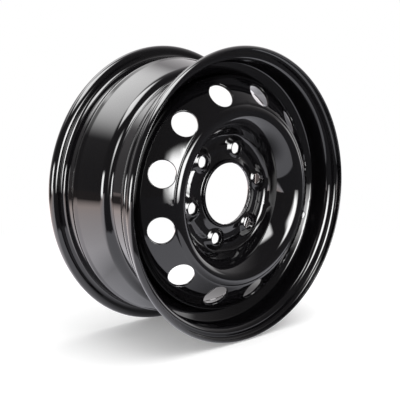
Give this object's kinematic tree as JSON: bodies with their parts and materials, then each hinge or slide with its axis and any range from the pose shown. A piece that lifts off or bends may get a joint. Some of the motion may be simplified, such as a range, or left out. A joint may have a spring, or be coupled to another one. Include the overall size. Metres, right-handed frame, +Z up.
{
  "type": "steel wheel rim",
  "caption": "Pressed steel wheel rim: a rolled rim with curled flanges and a drop well, welded to a dished disc with a hub bore, coned nut seats and round vents.",
  "frame": {"origin": "the wheel's centre, on its axle, halfway between the two flanges", "axes": "+Y along the axle toward the vehicle, so the outer face looks toward -Y; +Z up as the wheel stands on its flanges"},
  "size_m": [0.4401, 0.1988, 0.4402],
  "materials": {
    "rim_paint": "deep gloss black paint on rolled steel",
    "disc_paint": "deep gloss black paint on pressed steel",
    "weld_paint": "gloss black paint on rippled fillet weld"
  },
  "bodies": {
    "root": {"rim": "rim_paint", "disc": "disc_paint", "weld_beads": "weld_paint"}
  },
  "joints": []
}
